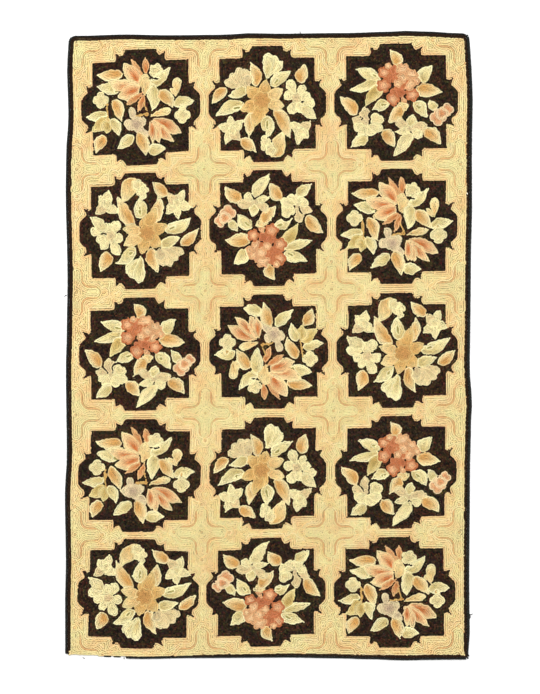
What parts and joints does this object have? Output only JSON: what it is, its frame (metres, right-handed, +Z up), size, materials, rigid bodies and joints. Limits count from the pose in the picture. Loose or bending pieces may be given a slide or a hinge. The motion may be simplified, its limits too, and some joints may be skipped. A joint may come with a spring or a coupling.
{
  "type": "hooked rug",
  "caption": "Flat hooked wool rug with flower medallions on cream and a whipped dark edge.",
  "frame": {"origin": "middle of the rug's outline, on the floor under it", "axes": "+Z up through the pile, +Y along the rug's length, +X across its width"},
  "size_m": [0.9778, 1.5102, 0.007],
  "materials": {
    "hooked_wool": "loop pile of hooked wool",
    "whipped_edge": "whipped wool yarn"
  },
  "bodies": {
    "root": {"hooked_field": "hooked_wool", "whipped_edge_bottom": "whipped_edge", "whipped_edge_right": "whipped_edge", "whipped_edge_top": "whipped_edge", "whipped_edge_left": "whipped_edge", "edge_tuft_1": "whipped_edge", "edge_tuft_2": "whipped_edge"}
  },
  "joints": []
}
